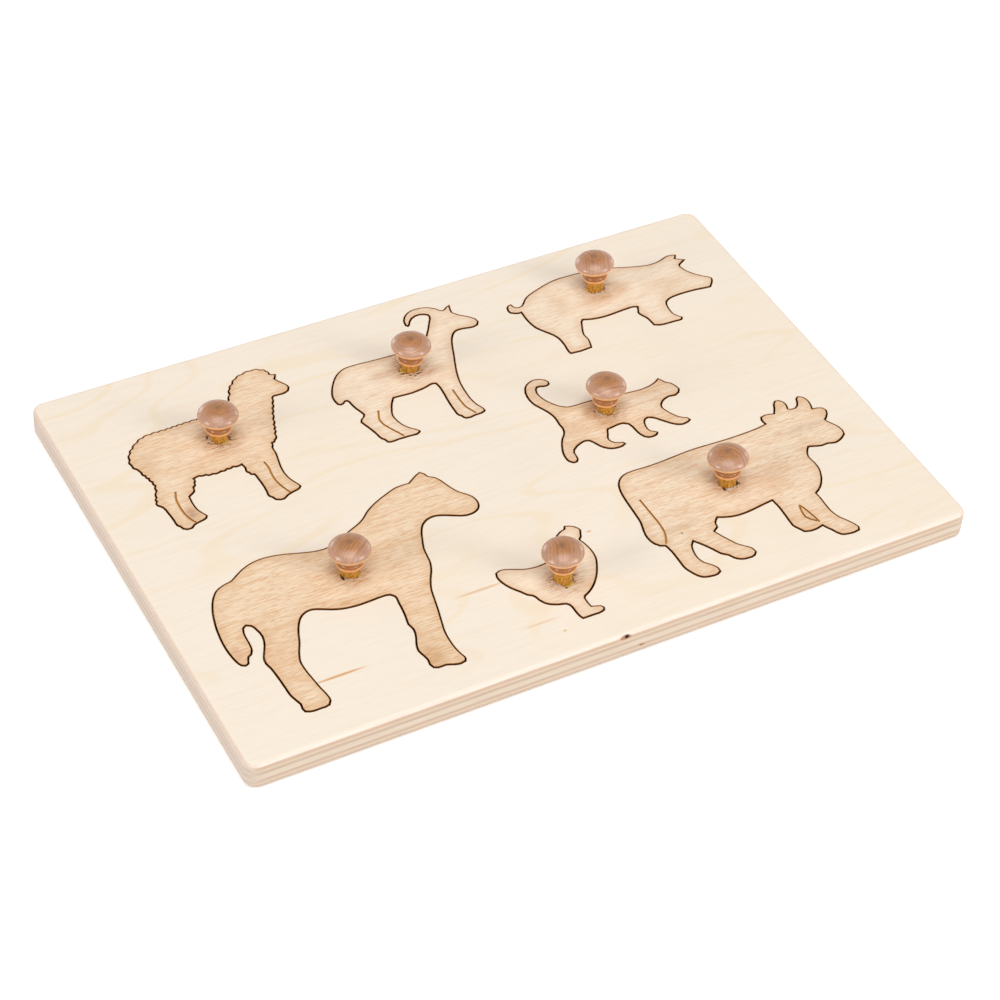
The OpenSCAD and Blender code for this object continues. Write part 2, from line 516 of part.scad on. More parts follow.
module pig_knob() {
    knob(pig_knob_share, pig_stand);
}

module cat_knob() {
    knob(cat_knob_share, cat_stand);
}

module horse_knob() {
    knob(horse_knob_share, horse_stand);
}

module hen_knob() {
    knob(hen_knob_share, hen_stand);
}

module cow_knob() {
    knob(cow_knob_share, cow_stand);
}

backing_sheet();
cutout_sheet();
sheep();
goat();
pig();
cat();
horse();
hen();
cow();
sheep_knob();
goat_knob();
pig_knob();
cat_knob();
horse_knob();
hen_knob();
cow_knob();
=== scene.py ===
import math
import random

import bmesh
import bpy
from mathutils import Matrix, Vector


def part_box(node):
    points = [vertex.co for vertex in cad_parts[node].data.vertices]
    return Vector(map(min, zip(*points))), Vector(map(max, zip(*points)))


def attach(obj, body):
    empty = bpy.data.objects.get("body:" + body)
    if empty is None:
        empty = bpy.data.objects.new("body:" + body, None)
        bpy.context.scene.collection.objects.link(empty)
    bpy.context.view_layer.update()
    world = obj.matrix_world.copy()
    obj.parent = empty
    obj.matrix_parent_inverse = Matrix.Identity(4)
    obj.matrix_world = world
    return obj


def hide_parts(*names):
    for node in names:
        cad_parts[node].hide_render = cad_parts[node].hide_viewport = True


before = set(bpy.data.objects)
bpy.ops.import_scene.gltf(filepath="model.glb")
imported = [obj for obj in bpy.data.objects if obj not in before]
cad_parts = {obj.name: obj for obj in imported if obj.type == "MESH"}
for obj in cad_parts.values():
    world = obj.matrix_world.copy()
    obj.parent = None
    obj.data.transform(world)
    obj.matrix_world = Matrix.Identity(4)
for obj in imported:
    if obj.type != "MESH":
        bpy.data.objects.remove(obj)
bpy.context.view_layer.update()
random.seed(7)

MM = 0.001
ANIMALS = ("sheep", "goat", "pig", "cat", "horse", "hen", "cow")

# Camera, worked out from the board's edges in the photograph. Its sensor and focal length are in
# millimetres, and how far it sees is in metres.
CAMERA_TARGET = Vector((-2.742, -10.636, 0)) * MM
CAMERA_DISTANCE = 1068.27 * MM
CAMERA_AZIMUTH = math.radians(-30.216)
CAMERA_ELEVATION = math.radians(43.228)
CAMERA_ROLL = math.radians(3.470)
SENSOR_WIDTH = 36.0
FOCAL_LENGTH = 99.895
CAMERA_REACH = 50.0

# Studio: half the floor's width and how far it lies under the board, in metres; how bright the
# white surroundings are as a light; and the glow that keeps the floor white to the camera
FLOOR_HALF = 4.0
FLOOR_DROP = 0.02 * MM
SURROUNDINGS = 0.29
FLOOR_GLOW = 0.35

# Softboxes: name, azimuth from the board's front, elevation, distance, width and height in
# metres, and brightness of the cloth
SOFTBOXES = (
    ("overhead_softbox", -35, 80, 3.0, 2.2, 2.6, 2.65),
    ("front_softbox", 2, 42, 3.2, 2.4, 1.6, 1.6),
    ("left_softbox", -86, 20, 3.0, 1.2, 1.8, 5.0),
    ("right_softbox", 38, 26, 3.0, 1.0, 2.0, 5.6),
    ("far_left_strip", -167, 4, 3.0, 1.0, 1.8, 3.2),
    ("far_right_strip", 107, 4, 3.0, 0.8, 1.8, 2.5),
)

# Board, in millimetres: its size, the band inside its outline that holds no hole, the height
# of the animals' faces, and the depth of their engraved lines
BOARD_LENGTH, BOARD_WIDTH, BOARD_THICKNESS = 300.0, 208.0, 12.0
EDGE_BAND = 2.0
ANIMAL_FACE = 12.25
ENGRAVED_DEPTH = 0.4

# Laser cuts, in millimetres: width of the scorched and of the smoked strip beside them, and
# depth of the browned top of the holes' walls. Then the roughness of the glazed char.
SCORCHED_STRIP = 0.28
SMOKED_STRIP = 4.0
BROWNED_STRIP = 0.8
CHAR_ROUGHNESS = 0.2

# Wood whose normal has a smaller upright share than this counts as a wall
STEEP = 0.5

# Shine of bare and matt-lacquered wood, which has nearly none
MATT_SHINE = 0.02

# Edges that turn by more than this stay sharp
SHARP_ANGLE = math.radians(40)

# Half section of a knob in millimetres, its facets, and the radius that counts as none
CAP_RADIUS = 8.0
DOME_HEIGHT = 3.8
UNDERSIDE_DEPTH = 1.9
WAIST_RADIUS = 3.8
COVE_HEIGHT = 4.1
COVE_ROUNDING = 1.3
FLANGE_RADIUS = 5.2
FLANGE_THICKNESS = 1.0
TENON_RADIUS = 3.4
TENON_END = -5.65
KNOB_FACETS = 96
ON_AXIS = 0.001

# Steep wood this near to the middle of a knob's foot is the wall of its bore, painted near black
# as the shade of the gap round the tenon
BORE_REACH = 4.0

# Where the painted milky sheen, a painted reflection, starts on the cap, out from its middle, and
# how milky it ends
SHEEN_START = 0.4 * CAP_RADIUS
SHEEN_STRENGTH = 0.27

# Each knob stands a little askew in its loose hole, leaning to the left of the photograph.
# Lean, turn of the grain about the knob's axis, and distance of the heart of the tree from
# the axis in millimetres: near the axis the growth rings show as rings, far off as lines.
LEAN_TOWARDS = Vector((-0.864, 0.503, 0))
LEAN_PIVOT = 9.1
KNOBS = {
    "sheep": (0.0, 10, 40),
    "goat": (-1.0, 100, 1.5),
    "pig": (5.0, 75, 25),
    "cat": (1.5, -5, 60),
    "horse": (1.2, 38, 60),
    "hen": (3.6, 70, 40),
    "cow": (4.4, 120, 9),
}

# Dried glue round each tenon: first and last angle, width and height in millimetres, and kind.
# Angles run anticlockwise from +X, so -120 faces the camera.
GLUE = {
    "sheep": ((-95, -35, 0.9, 0.6, "yellow"), (135, 220, 0.5, 0.25, "grey")),
    "goat": ((150, 215, 0.7, 0.45, "yellow"), (235, 300, 0.35, 0.15, "grey")),
    "pig": ((170, 192, 1.4, 0.9, "yellow"), (192, 212, 0, 0, "gap"),
            (212, 315, 0.7, 0.35, "grey")),
    "cat": ((145, 250, 0.5, 0.3, "grey"), (300, 355, 0.7, 0.4, "yellow")),
    "horse": ((130, 168, 0.5, 0.35, "yellow"), (168, 208, 0, 0, "gap"),
              (208, 285, 0.45, 0.2, "grey"), (300, 345, 0.5, 0.3, "yellow")),
    "hen": ((140, 165, 0, 0, "gap"), (165, 240, 0.6, 0.3, "grey"),
            (250, 320, 0.8, 0.45, "yellow")),
    "cow": ((165, 222, 0, 0, "gap"), (222, 300, 0.5, 0.3, "grey"), (318, 345, 0, 0, "gap")),
}
GLUE_KINDS = ("yellow", "grey", "gap")

# Bead of glue: facets round it, facets between its lumps, and its measures in millimetres. It
# overlaps the tenon and reaches down into the bore. Between the arcs only a thin grimy film
# shows, and in a gap the glue ends below the animal's face. An arc sinks into that face at its
# ends, and the outer edge of the bead feathers out just below it.
BEAD_FACETS = 120
LUMP_FACETS = 4
BEAD_OVERLAP = 0.2
BEAD_ROOT = -0.8
FILM_WIDTH = 0.33
FILM_HEIGHT = 0.06
GAP_HEIGHT = -0.6
BORE_GAP = 0.3
BEAD_SINK = 0.05
FEATHER = 0.02


def colour(text):
    """Linear colour of an sRGB hex value."""
    channels = [int(text[i:i + 2], 16) / 255 for i in (1, 3, 5)]
    return [c / 12.92 if c <= 0.04045 else ((c + 0.055) / 1.055) ** 2.4 for c in channels] + [1]


def add(tree, kind, inputs=None, **settings):
    """Adds a shader node with its settings, links the sockets given and sets the other inputs."""
    node = tree.nodes.new("ShaderNode" + kind)
    for name, value in settings.items():
        setattr(node, name, value)
    for name, value in (inputs or {}).items():
        if isinstance(value, bpy.types.NodeSocket):
            tree.links.new(value, node.inputs[name])
        else:
            node.inputs[name].default_value = colour(value) if isinstance(value, str) else value
    return node.outputs


def new_material(name):
    """An empty node material with its principled shader."""
    material = bpy.data.materials.new(name)
    material.use_nodes = True
    tree = material.node_tree
    tree.nodes.clear()
    shader = tree.nodes.new("ShaderNodeBsdfPrincipled")
    output = tree.nodes.new("ShaderNodeOutputMaterial")
    tree.links.new(shader.outputs[0], output.inputs["Surface"])
    return material, tree, shader


def place_in_mm(tree):
    """Place on the piece in millimetres, its coordinates, and how far the surface faces each
    axis."""
    coordinates = add(tree, "TexCoord")
    place = add(tree, "VectorMath", {0: coordinates["Object"], "Scale": 1 / MM},
                operation="SCALE")[0]
    facing = add(tree, "VectorMath", {0: coordinates["Normal"]}, operation="ABSOLUTE")[0]
    return place, add(tree, "SeparateXYZ", {0: place}), add(tree, "SeparateXYZ", {0: facing})


def fibres(tree, place, length, width, low, high, strength=1.0, shift=0.0):
    """Wood fibres along X, as long and as wide as given in millimetres, from 0 to a strength.
    They start to show where the noise passes low and are full where it passes high, and a shift
    gives the pattern another course."""
    cells = add(tree, "Mapping", {"Vector": place, "Scale": (1 / length, 1 / width, 1 / width),
                                  "Location": (shift, shift, shift)})[0]
    noise = add(tree, "TexNoise", {"Vector": cells, "Scale": 1.0, "Detail": 1.5,
                                   "Roughness": 0.5})[0]
    return add(tree, "MapRange", {"Value": noise, "From Min": low, "From Max": high,
                                  "To Max": strength}, interpolation_type="SMOOTHSTEP")[0]


def with_fibres(tree, wood, place, shade, *pattern, **settings):
    """The wood's colour with fibres of another shade over it, patterned as fibres() says."""
    laid = fibres(tree, place, *pattern, **settings)
    return add(tree, "Mix", {0: laid, 6: wood, 7: shade}, data_type="RGBA")[2]


def with_mark(tree, wood, place, middle, reach, shade, strength, softness=0.5):
    """The wood's colour with an oval mark in it, at a middle and with a reach in millimetres."""
    offset = add(tree, "VectorMath", {0: place, 1: middle}, operation="SUBTRACT")[0]
    shares = add(tree, "VectorMath", {0: offset, 1: reach}, operation="DIVIDE")[0]
    distance = add(tree, "VectorMath", {0: shares}, operation="LENGTH")["Value"]
    inside = add(tree, "MapRange", {"Value": distance, "From Min": 1 - softness,
                                    "From Max": 1 + softness, "To Min": strength,
                                    "To Max": 0.0}, interpolation_type="SMOOTHSTEP")[0]
    return add(tree, "Mix", {0: inside, 6: wood, 7: shade}, data_type="RGBA")[2]


def near_cut(tree, reach):
    """How near the surface lies to a cut edge of its own solid, from 0 at a reach in millimetres
    to 1 at the edge: for the strips that the laser scorched and smoked."""
    inside = add(tree, "AmbientOcclusion", {"Distance": reach * MM}, samples=4, inside=True,
                 only_local=True)["AO"]
    return add(tree, "MapRange", {"Value": inside, "From Min": 0.55, "From Max": 0.95,
                                  "To Min": 1.0, "To Max": 0.0})[0]


def upright_share(tree, axes, low, high):
    """How far the surface lies between a low and a high level in millimetres, from 0 to 1."""
    return add(tree, "MapRange", {"Value": axes["Z"], "From Min": low, "From Max": high})[0]


def char(tree, place):
    """Colour of a wall that the laser cut: glazed brown char, streaked along the plies."""
    along = fibres(tree, place, 14, 0.6, 0.35, 0.7)
    return add(tree, "Mix", {0: along, 6: "#2C0E03", 7: "#4C220C"}, data_type="RGBA")[2]


def set_up_camera():
    """The photograph's view."""
    back = Vector((math.sin(CAMERA_AZIMUTH) * math.cos(CAMERA_ELEVATION),
                   -math.cos(CAMERA_AZIMUTH) * math.cos(CAMERA_ELEVATION),
                   math.sin(CAMERA_ELEVATION)))
    level = Vector((math.cos(CAMERA_AZIMUTH), math.sin(CAMERA_AZIMUTH), 0))
    upright = back.cross(level)
    right = level * math.cos(CAMERA_ROLL) + upright * math.sin(CAMERA_ROLL)
    up = back.cross(right)
    data = bpy.data.cameras.new("camera")
    data.lens = FOCAL_LENGTH
    data.sensor_width = SENSOR_WIDTH
    data.clip_end = CAMERA_REACH
    camera = bpy.data.objects.new("camera", data)
    turn = Matrix((right, up, back)).transposed().to_4x4()
    camera.matrix_world = Matrix.Translation(CAMERA_TARGET + back * CAMERA_DISTANCE) @ turn
    bpy.context.scene.collection.objects.link(camera)
    bpy.context.scene.camera = camera


def softbox(name, azimuth, elevation, distance, width, height, radiance):
    """An oval studio light that faces the board, with the brightness of its cloth."""
    azimuth, elevation = math.radians(azimuth), math.radians(elevation)
    away = Vector((math.sin(azimuth) * math.cos(elevation),
                   -math.cos(azimuth) * math.cos(elevation),
                   math.sin(elevation)))
    data = bpy.data.lights.new(name, "AREA")
    data.shape = "ELLIPSE"
    data.size = width
    data.size_y = height
    data.energy = radiance * math.pi * (math.pi / 4 * width * height)
    light = bpy.data.objects.new(name, data)
    light.location = away * distance
    light.rotation_euler = away.to_track_quat("Z", "Y").to_euler()
    bpy.context.scene.collection.objects.link(light)


def seen_white(tree):
    """1 for rays that show the surroundings, directly or by reflection, and 0 for their light."""
    path = add(tree, "LightPath")
    seen = add(tree, "Math", {0: path["Is Camera Ray"], 1: path["Is Transmission Ray"]},
               operation="MAXIMUM")[0]
    return add(tree, "Math", {0: seen, 1: path["Is Glossy Ray"]}, operation="MAXIMUM")[0]


def set_up_studio():
    """White floor and background, softboxes overhead, in front and low at both sides, and two
    strips far back that edge the knobs with light."""
    world = bpy.data.worlds.new("studio")
    bpy.context.scene.world = world
    world.use_nodes = True
    tree = world.node_tree
    tree.nodes.clear()
    level = add(tree, "MapRange", {"Value": seen_white(tree), "To Min": SURROUNDINGS,
                                   "To Max": 1.0})[0]
    sky = add(tree, "Background", {"Color": "#FFFFFF", "Strength": level})[0]
    add(tree, "OutputWorld", {"Surface": sky})

    material, tree, shader = new_material("matt_white_paper")
    shader.inputs["Base Color"].default_value = colour("#F2F2F2")
    shader.inputs["Roughness"].default_value = 0.9
    glow = add(tree, "Math", {0: seen_white(tree), 1: FLOOR_GLOW}, operation="MULTIPLY")[0]
    shader.inputs["Emission Color"].default_value = colour("#FFFFFF")
    tree.links.new(glow, shader.inputs["Emission Strength"])
    mesh = bpy.data.meshes.new("floor")
    corners = [(x * FLOOR_HALF, y * FLOOR_HALF, 0)
               for x, y in ((-1, -1), (1, -1), (1, 1), (-1, 1))]
    mesh.from_pydata(corners, [], [(0, 1, 2, 3)])
    mesh.materials.append(material)
    floor = bpy.data.objects.new("floor", mesh)
    floor.location.z = -FLOOR_DROP
    bpy.context.scene.collection.objects.link(floor)

    for row in SOFTBOXES:
        softbox(*row)


# Plies from the underside up: height of each one's top as a share of the board's thickness,
# its colour where it is cut on the long sides, and its colour on the short sides
PLIES = (
    (0.090, "#DCBF9E", "#E6CDBA"),
    (0.205, "#E0CAB6", "#EADACB"),
    (0.285, "#E9D6BF", "#DCC8B8"),
    (0.395, "#DFC5B0", "#EADACB"),
    (0.590, "#EDDDCA", "#DFCDBF"),
    (0.705, "#DEC5B0", "#E9DACC"),
    (0.790, "#EBD8C0", "#DCC9BA"),
    (0.905, "#E2C5AE", "#ECDCCC"),
    (1.000, "#FAEDE0", "#E9CFBB"),
)
# Half the blurred join between two plies, as a share of the board's thickness
PLY_JOIN = 0.006
# Yellow contour bands of the face: length and width of their swell in millimetres, and how
# many radians of bands one swell holds
CONTOUR_LENGTH, CONTOUR_WIDTH = 150, 38
CONTOUR_TURNS = 55.0


def plywood_side(tree, place, axes, facing):
    """Colour of the plies on a cut through the board: pale along the grain, pinkish across it."""
    height = add(tree, "Math", {0: axes["Z"], 1: BOARD_THICKNESS}, operation="DIVIDE")[0]
    sides = []
    for column in (1, 2):
        outputs = add(tree, "ValToRGB", {0: height})
        stops = outputs[0].node.color_ramp.elements
        stops[0].color = colour(PLIES[0][column])
        stops[1].color = colour(PLIES[-1][column])
        for below, above in zip(PLIES, PLIES[1:]):
            stops.new(below[0] - PLY_JOIN).color = colour(below[column])
            stops.new(below[0] + PLY_JOIN).color = colour(above[column])
        sides.append(outputs[0])
    wood = add(tree, "Mix", {0: facing["X"], 6: sides[0], 7: sides[1]}, data_type="RGBA")[2]
    streak = fibres(tree, place, 16, 0.5, 0.35, 0.75, strength=0.5)
    darker = add(tree, "Mix", {0: 1.0, 6: wood, 7: "#F0E4DA"}, data_type="RGBA",
                 blend_type="MULTIPLY")[2]
    return add(tree, "Mix", {0: streak, 6: wood, 7: darker}, data_type="RGBA")[2]


# Marks in the board's face and front edge: middle, reach in millimetres, colour and strength
FACE_MARKS = (
    ((-103, -77.5, 12), (9.5, 0.55, 9), "#DE9A4C", 0.8),
    ((-38, -61, 12), (9.5, 0.6, 9), "#E4AC6C", 0.55),
    ((-26, -85.5, 12), (7, 0.5, 9), "#E6B27A", 0.4),
    ((13, -51, 12), (1.0, 0.45, 9), "#E0A060", 0.7),
    ((-20, -92.5, 12), (0.7, 0.4, 9), "#E3B84E", 0.8),
)
EDGE_KNOTS = (
    ((-1.0, -104, 10.7), (2.3, 1.6, 0.85), "#BE8A60", 0.95),
    ((-0.5, -104, 10.85), (0.95, 1.6, 0.6), "#35323A", 1.0),
    ((6.2, -104, 4.05), (1.3, 1.6, 0.55), "#C59A78", 0.8),
    ((5.9, -104, 4.0), (0.6, 1.6, 0.4), "#A06A44", 0.9),
)


def lacquered_birch_plywood():
    """Birch plywood, sanded and lacquered matt: a creamy face with faint yellow contour bands
    where the peeled veneer cuts the growth rings, and plies in bands along its edges."""
    material, tree, shader = new_material("lacquered_birch_plywood")
    place, axes, facing = place_in_mm(tree)
    side = plywood_side(tree, place, axes, facing)

    cells = add(tree, "Mapping", {"Vector": place, "Scale": (
        1 / CONTOUR_LENGTH, 1 / CONTOUR_WIDTH, 1 / CONTOUR_WIDTH)})[0]
    contour = add(tree, "TexNoise", {"Vector": cells, "Scale": 1.0, "Detail": 1.0})[0]
    turns = add(tree, "Math", {0: contour, 1: CONTOUR_TURNS}, operation="MULTIPLY")[0]
    wave = add(tree, "Math", {0: turns}, operation="SINE")[0]
    band = add(tree, "MapRange", {"Value": wave, "From Min": 0.7, "From Max": 1.0,
                                  "To Max": 0.32}, interpolation_type="SMOOTHSTEP")[0]
    patchy = fibres(tree, place, 70, 26, 0.38, 0.62, shift=4.0)
    band = add(tree, "Math", {0: band, 1: patchy}, operation="MULTIPLY")[0]
    yellowed = fibres(tree, place, 120, 45, 0.4, 0.7, strength=0.5, shift=12.0)
    face = add(tree, "Mix", {0: yellowed, 6: "#FAEDDC", 7: "#F9EAD4"}, data_type="RGBA")[2]
    face = add(tree, "Mix", {0: band, 6: face, 7: "#F8DFB6"}, data_type="RGBA")[2]
    face = with_fibres(tree, face, place, "#F4DDC0", 30, 1.6, 0.5, 0.7, strength=0.15, shift=7.0)
    fine = fibres(tree, place, 9, 0.35, 0.5, 0.7, strength=0.18, shift=3.0)
    face = add(tree, "Mix", {0: fine, 6: face, 7: "#EFD5B6"}, data_type="RGBA")[2]
    for middle, reach, shade, strength in FACE_MARKS:
        face = with_mark(tree, face, place, middle, reach, shade, strength)

    upward = add(tree, "MapRange", {"Value": facing["Z"], "From Min": 0.80, "From Max": 0.97},
                 interpolation_type="SMOOTHSTEP")[0]
    wood = add(tree, "Mix", {0: upward, 6: side, 7: face}, data_type="RGBA")[2]
    for middle, reach, shade, strength in EDGE_KNOTS:
        wood = with_mark(tree, wood, place, middle, reach, shade, strength, softness=0.25)

    # Where a hole bares the backing sheet, its face is raw and stained by smoke
    deep = add(tree, "Math", {0: axes["Z"], 1: BOARD_THICKNESS - EDGE_BAND},
               operation="LESS_THAN")[0]
    deep = add(tree, "Math", {0: deep, 1: upward}, operation="MULTIPLY")[0]
    grain = fibres(tree, place, 14, 0.5, 0.4, 0.7, strength=0.7, shift=21.0)
    bare = add(tree, "Mix", {0: grain, 6: "#CDA374", 7: "#A87C4C"}, data_type="RGBA")[2]
    bare = with_fibres(tree, bare, place, "#8A5E36", 16, 9, 0.4, 0.7, strength=0.6, shift=24.0)
    wood = add(tree, "Mix", {0: deep, 6: wood, 7: bare}, data_type="RGBA")[2]

    # The laser that cut the animals out charred the walls of their holes and scorched their rims
    inner = [add(tree, "Math", {0: add(tree, "Math", {0: axes[axis]}, operation="ABSOLUTE")[0],
                                1: size / 2 - EDGE_BAND}, operation="LESS_THAN")[0]
             for axis, size in (("X", BOARD_LENGTH), ("Y", BOARD_WIDTH))]
    inner = add(tree, "Math", {0: inner[0], 1: inner[1]}, operation="MULTIPLY")[0]
    scorched = add(tree, "Math", {0: inner, 1: near_cut(tree, SCORCHED_STRIP)},
                   operation="MULTIPLY")[0]
    wood = add(tree, "Mix", {0: scorched, 6: wood, 7: "#B06A30"}, data_type="RGBA")[2]
    burnt = add(tree, "MapRange", {"Value": scorched, "From Min": 0.55, "From Max": 0.85})[0]
    wood = add(tree, "Mix", {0: burnt, 6: wood, 7: "#70340E"}, data_type="RGBA")[2]
    steep = add(tree, "Math", {0: facing["Z"], 1: STEEP}, operation="LESS_THAN")[0]
    charred = add(tree, "Math", {0: inner, 1: steep}, operation="MULTIPLY")[0]
    depth = upright_share(tree, axes, BOARD_THICKNESS - BROWNED_STRIP, BOARD_THICKNESS)
    wall = add(tree, "Mix", {0: depth, 6: char(tree, place), 7: "#B4702C"}, data_type="RGBA")[2]
    wood = add(tree, "Mix", {0: charred, 6: wood, 7: wall}, data_type="RGBA")[2]
    tree.links.new(wood, shader.inputs["Base Color"])

    rough = add(tree, "MapRange", {"Value": fine, "To Min": 0.5, "To Max": 0.7})[0]
    rough = add(tree, "Mix", {0: charred, 2: rough, 3: CHAR_ROUGHNESS}, data_type="FLOAT")[0]
    tree.links.new(rough, shader.inputs["Roughness"])
    shader.inputs["Specular IOR Level"].default_value = MATT_SHINE
    bump = add(tree, "Bump", {"Height": fine, "Strength": 0.15, "Distance": 0.1 * MM})[0]
    tree.links.new(bump, shader.inputs["Normal"])
    return material


# Stains on the animals: middle, reach in millimetres, colour and strength
STAINS = {
    "sheep": (((-117.3, 20.5, 12), (2.2, 3.2, 9), "#B48D76", 0.8),
              ((-84, 21, 12), (3.5, 1.6, 9), "#CFA27C", 0.5),
              ((-93, 45, 12), (9, 3, 9), "#D9AE85", 0.4),
              ((-122, 52, 12), (3.5, 5, 9), "#DDB08A", 0.5)),
    "goat": (((-17, 62, 12), (5.5, 2.4, 9), "#B98E66", 0.55),
             ((2, 56, 12), (5, 2.2, 9), "#BE946C", 0.5),
             ((-36, 72, 12), (4, 4, 9), "#E0B48C", 0.4)),
    "pig": (((84, 67, 12), (9, 2.5, 9), "#DDB082", 0.6),
            ((96, 70, 12), (3, 3, 9), "#D6A67A", 0.5),
            ((67, 72, 12), (4, 5, 9), "#E2B88E", 0.4),
            ((116, 64, 12), (9, 4, 9), "#E3BC96", 0.45)),
    "cat": (((46, 7, 12), (3.5, 3, 9), "#C89664", 0.65),
            ((49, -1, 12), (4, 1.6, 9), "#CC9A60", 0.6),
            ((37, 1, 12), (4, 5, 9), "#E4BC96", 0.5)),
    "horse": (((-69, -84, 12), (5, 5, 9), "#C4935A", 0.65),
              ((-66, -74, 12), (3.5, 5, 9), "#D3A46E", 0.4),
              ((-84, -46, 12), (6, 1.8, 9), "#D2A062", 0.55),
              ((-131, -52, 12), (2, 2.5, 9), "#DCAA88", 0.7),
              ((-118, -62, 12), (5, 14, 9), "#E6BC96", 0.5),
              ((-66, -27, 12), (5, 4, 9), "#D6A878", 0.45)),
    "hen": (((2, -76, 12), (5, 3, 9), "#CFA278", 0.4),),
    "cow": (((45, -64, 12), (7, 1.4, 9), "#C7A07C", 0.45),
            ((44.2, -67, 12), (0.35, 0.6, 9), "#6A4A3A", 0.9),
            ((90, -56, 12), (9, 5, 9), "#DFB28C", 0.5),
            ((118, -36, 12), (9, 2.2, 9), "#CDAA90", 0.45),
            ((92, -80, 12), (5, 5, 9), "#E0B690", 0.5)),
}

# Char and dark glue at the feet of the goat's and the sheep's knobs, and painted shade at the
# horse's and the cow's: dark marks where the glue leaves a gap round the tenon, and a soft painted
# shadow to the right of the cow's knob. All are laid over everything else
FOOT_MARKS_AND_SHADE = {
    "horse": (((-81.0, -34.0, 12), (0.6, 1.4, 9), "#1E120A", 1.0),),
    "cow": (((71.3, -53.0, 12), (0.6, 1.0, 9), "#2A1A10", 0.9),
            ((78.0, -52.6, 12), (0.7, 0.5, 9), "#4A3020", 0.8)),
    "goat": (((-9.9, 59.0, 12), (0.6, 0.5, 9), "#3A2416", 0.9),
             ((-4.4, 56.8, 12), (0.9, 0.35, 9), "#4A2E1A", 0.9)),
    "sheep": (((-95.2, 57.0, 12), (0.6, 0.9, 9), "#3A2618", 0.9),
              ((-88.0, 52.4, 12), (0.7, 0.4, 9), "#4A3020", 0.8)),
}

# How grubby each animal is round its knob, how warm its wood has turned, and how plainly its
# grain shows
GRUBBINESS = {"sheep": 1.0, "goat": 1.0, "pig": 0.6, "cat": 0.9, "horse": 0.7, "hen": 0.85,
              "cow": 0.65}
WARMTH = {"sheep": 0.75, "goat": 0.0, "pig": 0.0, "cat": 0.4, "horse": 0.85, "hen": 0.0,
          "cow": 0.45}
GRAIN = {"sheep": 0.9, "goat": 0.6, "pig": 0.6, "cat": 0.9, "horse": 1.0, "hen": 0.45,
         "cow": 0.9}

# Grime and specks round a knob's foot, in millimetres: where they start to fade and where they
# end, and the length and width of the cells that hold one speck each
GRIME_FADE = (3.0, 12.0)
SPECK_FADE = (4.0, 9.0)
SPECK_LENGTH, SPECK_WIDTH = 1.5, 0.9


